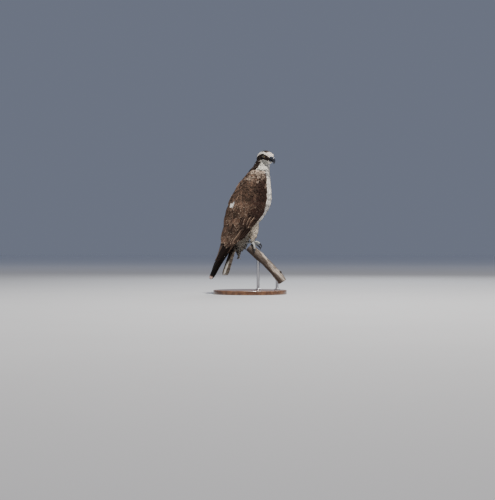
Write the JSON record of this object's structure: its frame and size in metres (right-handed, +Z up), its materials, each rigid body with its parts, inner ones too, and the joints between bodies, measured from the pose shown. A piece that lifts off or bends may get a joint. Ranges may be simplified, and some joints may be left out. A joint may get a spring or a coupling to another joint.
{
  "type": "osprey on a perch",
  "caption": "Life-size osprey at rest with folded wings and its head turned, gripping the broken end of a bare branch, on a flat stand with short rods.",
  "frame": {"origin": "middle of the underside of the stand's base", "axes": "+Z up; the bird faces +X and turns its head towards -Y, so its right side is on -Y"},
  "size_m": [0.3014, 0.29, 0.566],
  "materials": {
    "plumage_pale": "soft matte white and cream feathers",
    "plumage_dark": "dark brown feathers with pale fringes",
    "foot_skin": "rough pale grey scaled skin",
    "horn": "smooth black horn",
    "eye": "wet glossy yellow iris with a black pupil",
    "branch_wood": "weathered grey bare wood with long grain",
    "base_wood": "satin varnished hardwood",
    "rod_steel": "brushed"
  },
  "bodies": {
    "root": {"head": "plumage_pale", "neck": "plumage_pale", "torso": "plumage_pale", "thigh_right": "plumage_pale", "thigh_left": "plumage_pale", "wing_right": "plumage_dark", "wing_left": "plumage_dark", "tail": "plumage_dark", "foot_right": "foot_skin", "foot_left": "foot_skin", "bill_upper": "horn", "bill_lower": "horn", "eye_right": "eye", "eye_left": "eye", "perch": "branch_wood", "stand_base": "base_wood", "stand_rod_1": "rod_steel", "stand_rod_2": "rod_steel", "claw_middle_right": "horn", "claw_inner_right": "horn", "claw_outer_right": "horn", "claw_hind_right": "horn", "claw_middle_left": "horn", "claw_inner_left": "horn", "claw_outer_left": "horn", "claw_hind_left": "horn"}
  },
  "joints": []
}
